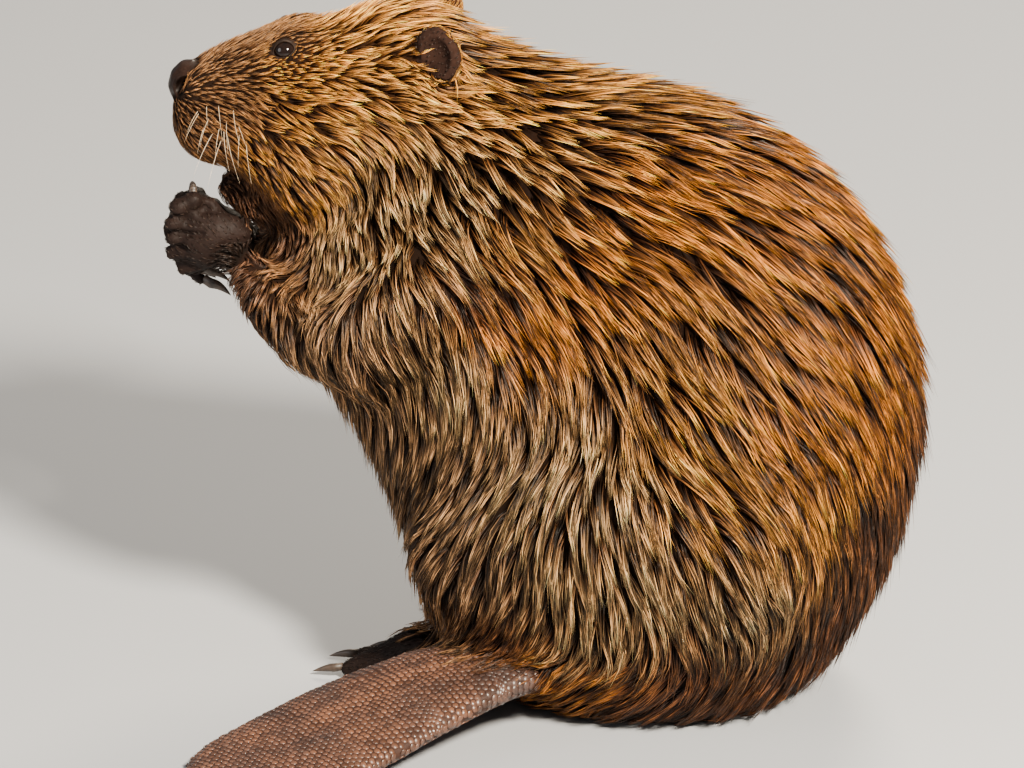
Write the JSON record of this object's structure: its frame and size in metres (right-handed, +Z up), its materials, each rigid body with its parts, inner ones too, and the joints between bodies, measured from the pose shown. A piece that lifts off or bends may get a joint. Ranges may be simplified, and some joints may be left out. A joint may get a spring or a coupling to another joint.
{
  "type": "beaver",
  "caption": "Life-size still model of an adult beaver sitting upright on its haunches, hands raised to its mouth, flat scaly tail swept forward on the floor",
  "frame": {"origin": "on the floor, in the middle of the flat seat under the rump", "axes": "-X the way the trunk faces, -Y the animal's left side, +Z up"},
  "size_m": [0.441, 0.4179, 0.3989],
  "materials": {
    "fur": "long clumped guard hair, orange-brown over a dark underfur",
    "face_fur": "short golden-brown hair lying back from the nose",
    "foot_skin": "dark leathery skin with very short hair",
    "tail_skin": "dark damp scaly skin",
    "nose": "bare black pad, slightly moist",
    "eye": "black, glossy and wet",
    "claw": "smooth black horn"
  },
  "bodies": {
    "root": {"ear_left": "face_fur", "ear_right": "face_fur", "eye_left": "eye", "eye_right": "eye", "foot_claw_left_1": "claw", "foot_claw_left_2": "claw", "foot_claw_left_3": "claw", "foot_claw_left_4": "claw", "foot_claw_left_5": "claw", "foot_claw_right_1": "claw", "foot_claw_right_2": "claw", "foot_claw_right_3": "claw", "foot_claw_right_4": "claw", "foot_claw_right_5": "claw", "foot_left": "foot_skin", "foot_right": "foot_skin", "foreleg_left": "fur", "foreleg_right": "fur", "hand_claw_left_1": "claw", "hand_claw_left_2": "claw", "hand_claw_left_3": "claw", "hand_claw_left_4": "claw", "hand_claw_left_5": "claw", "hand_claw_right_1": "claw", "hand_claw_right_2": "claw", "hand_claw_right_3": "claw", "hand_claw_right_4": "claw", "hand_claw_right_5": "claw", "hand_left": "foot_skin", "hand_right": "foot_skin", "head": "face_fur", "hindleg_left": "fur", "hindleg_right": "fur", "lower_jaw": "face_fur", "neck": "fur", "nose": "nose", "tail_base": "fur", "tail_paddle": "tail_skin", "trunk": "fur"}
  },
  "joints": []
}
